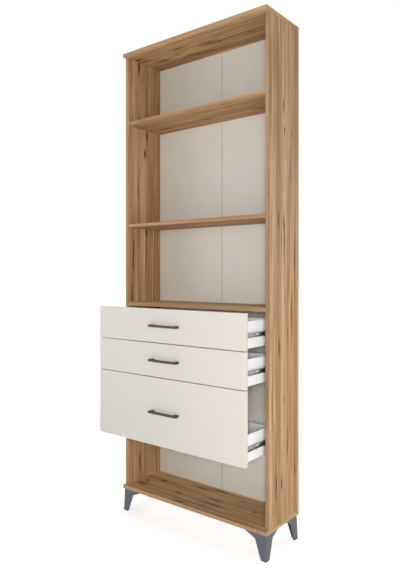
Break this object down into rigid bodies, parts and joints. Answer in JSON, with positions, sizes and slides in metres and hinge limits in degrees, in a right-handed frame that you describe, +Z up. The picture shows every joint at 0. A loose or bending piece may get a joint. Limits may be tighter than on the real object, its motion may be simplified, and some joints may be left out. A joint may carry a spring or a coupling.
{
  "type": "bookcase with bottom drawers",
  "caption": "Tall open bookcase on short splayed feet: oak-look frame and shelves, three cream full-width drawers on ball-bearing slides over an open bottom niche.",
  "frame": {"origin": "centre of the overall box at floor level, with the drawers standing partly open as at rest", "axes": "+X to the right seen from the front, +Y to the rear, +Z up"},
  "size_m": [0.77, 0.425, 2.114],
  "materials": {
    "oak_panel": "oak-look melamine, satin",
    "oak_side": "oak-look melamine, satin",
    "oak_shelf": "oak-look melamine, satin",
    "beech_dowel": "raw beech",
    "back_sheet": "painted fibreboard, matt",
    "back_strip": "raw fibreboard",
    "foot_metal": "satin anthracite",
    "glide_plastic": "matt black",
    "slide_steel": "zinc plated",
    "front_board": "cream melamine, satin",
    "white_board": "white melamine",
    "white_sheet": "white painted fibreboard",
    "screw_steel": "zinc plated",
    "handle_metal": "satin anthracite",
    "cage_steel": "plain steel"
  },
  "bodies": {
    "root": {"bottom_panel": "oak_panel", "top_panel": "oak_panel", "side_panel_left": "oak_side", "side_panel_right": "oak_side", "shelf_drawer_top": "oak_shelf", "shelf_middle": "oak_shelf", "shelf_upper": "oak_shelf", "carcass_dowels": "beech_dowel", "back_panel_left": "back_sheet", "back_panel_right": "back_sheet", "back_seam_strip": "back_strip", "foot_front_left": "foot_metal", "foot_front_right": "foot_metal", "foot_rear_right": "foot_metal", "foot_rear_left": "foot_metal", "foot_glides": "glide_plastic", "cabinet_slides_1": "slide_steel", "cabinet_slides_2": "slide_steel", "cabinet_slides_3": "slide_steel"},
    "drawer_1": {"drawer_front_1": "front_board", "drawer_side_left_1": "white_board", "drawer_side_right_1": "white_board", "drawer_back_1": "white_board", "drawer_bottom_1": "white_sheet", "drawer_slides_1": "slide_steel", "slide_screws_1": "screw_steel", "handle_1": "handle_metal", "handle_screws_1": "screw_steel"},
    "drawer_2": {"drawer_front_2": "front_board", "drawer_side_left_2": "white_board", "drawer_side_right_2": "white_board", "drawer_back_2": "white_board", "drawer_bottom_2": "white_sheet", "drawer_slides_2": "slide_steel", "slide_screws_2": "screw_steel", "handle_2": "handle_metal", "handle_screws_2": "screw_steel"},
    "drawer_3": {"drawer_front_3": "front_board", "drawer_side_left_3": "white_board", "drawer_side_right_3": "white_board", "drawer_back_3": "white_board", "drawer_bottom_3": "white_sheet", "drawer_slides_3": "slide_steel", "slide_screws_3": "screw_steel", "handle_3": "handle_metal", "handle_screws_3": "screw_steel"},
    "ball_cage_1": {"ball_cages_1": "cage_steel"},
    "ball_cage_2": {"ball_cages_2": "cage_steel"},
    "ball_cage_3": {"ball_cages_3": "cage_steel"}
  },
  "joints": [
    {"name": "drawer_1_slide", "type": "slide", "parent": "root", "child": "drawer_1", "axis": [0, -1, 0], "range_m": [-0.144, 0.006]},
    {"name": "drawer_2_slide", "type": "slide", "parent": "root", "child": "drawer_2", "axis": [0, -1, 0], "range_m": [-0.144, 0.006]},
    {"name": "drawer_3_slide", "type": "slide", "parent": "root", "child": "drawer_3", "axis": [0, -1, 0], "range_m": [-0.144, 0.006]},
    {"name": "ball_cage_1_slide", "type": "slide", "parent": "root", "child": "ball_cage_1", "axis": [0, -1, 0], "range_m": [-0.072, 0.003]},
    {"name": "ball_cage_2_slide", "type": "slide", "parent": "root", "child": "ball_cage_2", "axis": [0, -1, 0], "range_m": [-0.072, 0.003]},
    {"name": "ball_cage_3_slide", "type": "slide", "parent": "root", "child": "ball_cage_3", "axis": [0, -1, 0], "range_m": [-0.072, 0.003]}
  ],
  "couplings": [
    {"joint": "ball_cage_1_slide", "follows": "drawer_1_slide", "ratio": 0.5},
    {"joint": "ball_cage_2_slide", "follows": "drawer_2_slide", "ratio": 0.5},
    {"joint": "ball_cage_3_slide", "follows": "drawer_3_slide", "ratio": 0.5}
  ]
}
